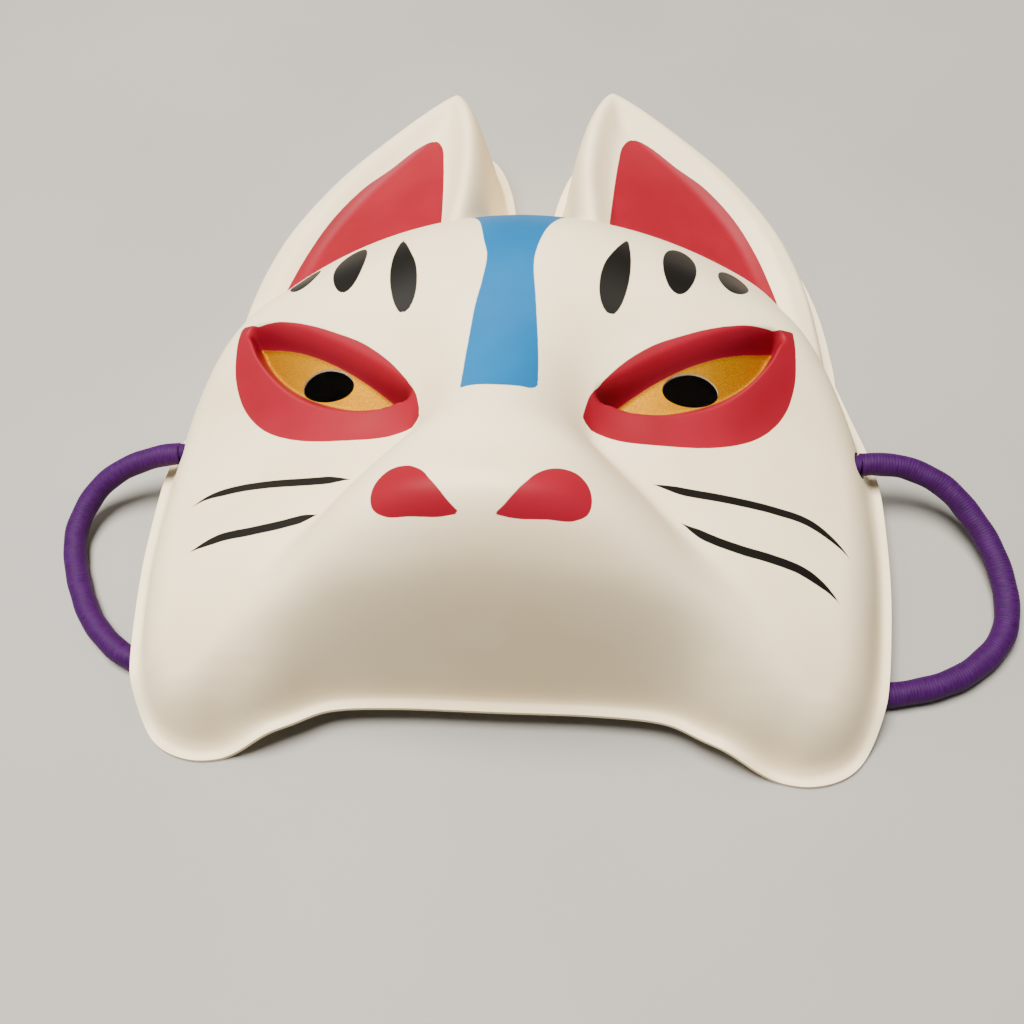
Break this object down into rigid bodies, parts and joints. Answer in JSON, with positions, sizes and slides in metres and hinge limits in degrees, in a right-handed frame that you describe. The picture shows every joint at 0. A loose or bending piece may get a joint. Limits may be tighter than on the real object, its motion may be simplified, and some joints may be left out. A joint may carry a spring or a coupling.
{
  "type": "fox half mask",
  "caption": "Fox half mask formed from one thin plastic sheet, with upright ears, open lower edge, eye holes and a thread-covered elastic cord.",
  "frame": {"origin": "middle of the mask's length and width, on the surface its rim rests on", "axes": "+Z out of the face, +Y from the cheeks to the ear tips, +X to the right of the picture"},
  "size_m": [0.2058, 0.1806, 0.0626],
  "materials": {
    "mask_plastic": "white sheet, painted in red, blue, gold and black",
    "cord_thread": "purple thread wound round elastic"
  },
  "bodies": {
    "root": {"mask_shell": "mask_plastic", "elastic_cord": "cord_thread"}
  },
  "joints": []
}
